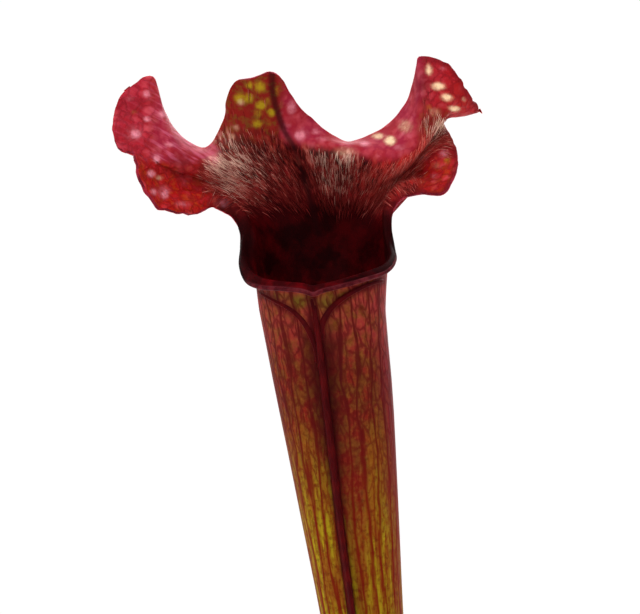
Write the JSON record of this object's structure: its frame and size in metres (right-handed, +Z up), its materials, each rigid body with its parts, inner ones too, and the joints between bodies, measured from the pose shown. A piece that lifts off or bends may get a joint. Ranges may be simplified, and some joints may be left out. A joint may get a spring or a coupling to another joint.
{
  "type": "potted pitcher plant",
  "caption": "Trumpet pitcher plant in a plain round pot: a tall hollow leaf with a front wing, rolled lip and ruffled netted lid, beside a closed young pitcher and sword leaves.",
  "frame": {"origin": "centre of the underside of the pot's foot", "axes": "+Z up along the pot and the pitcher; the pitcher's mouth and wing face -Y"},
  "size_m": [0.1452, 0.1248, 0.4282],
  "materials": {
    "pot": "satin",
    "potting_mix": "matte",
    "crown": "matte",
    "pitcher": "satin",
    "young_pitcher": "satin",
    "sword_leaf": "satin"
  },
  "bodies": {
    "root": {"pot": "pot", "potting_mix": "potting_mix", "crown": "crown", "pitcher": "pitcher", "young_pitcher": "young_pitcher", "sword_leaf_1": "sword_leaf", "sword_leaf_2": "sword_leaf", "sword_leaf_3": "sword_leaf"}
  },
  "joints": []
}
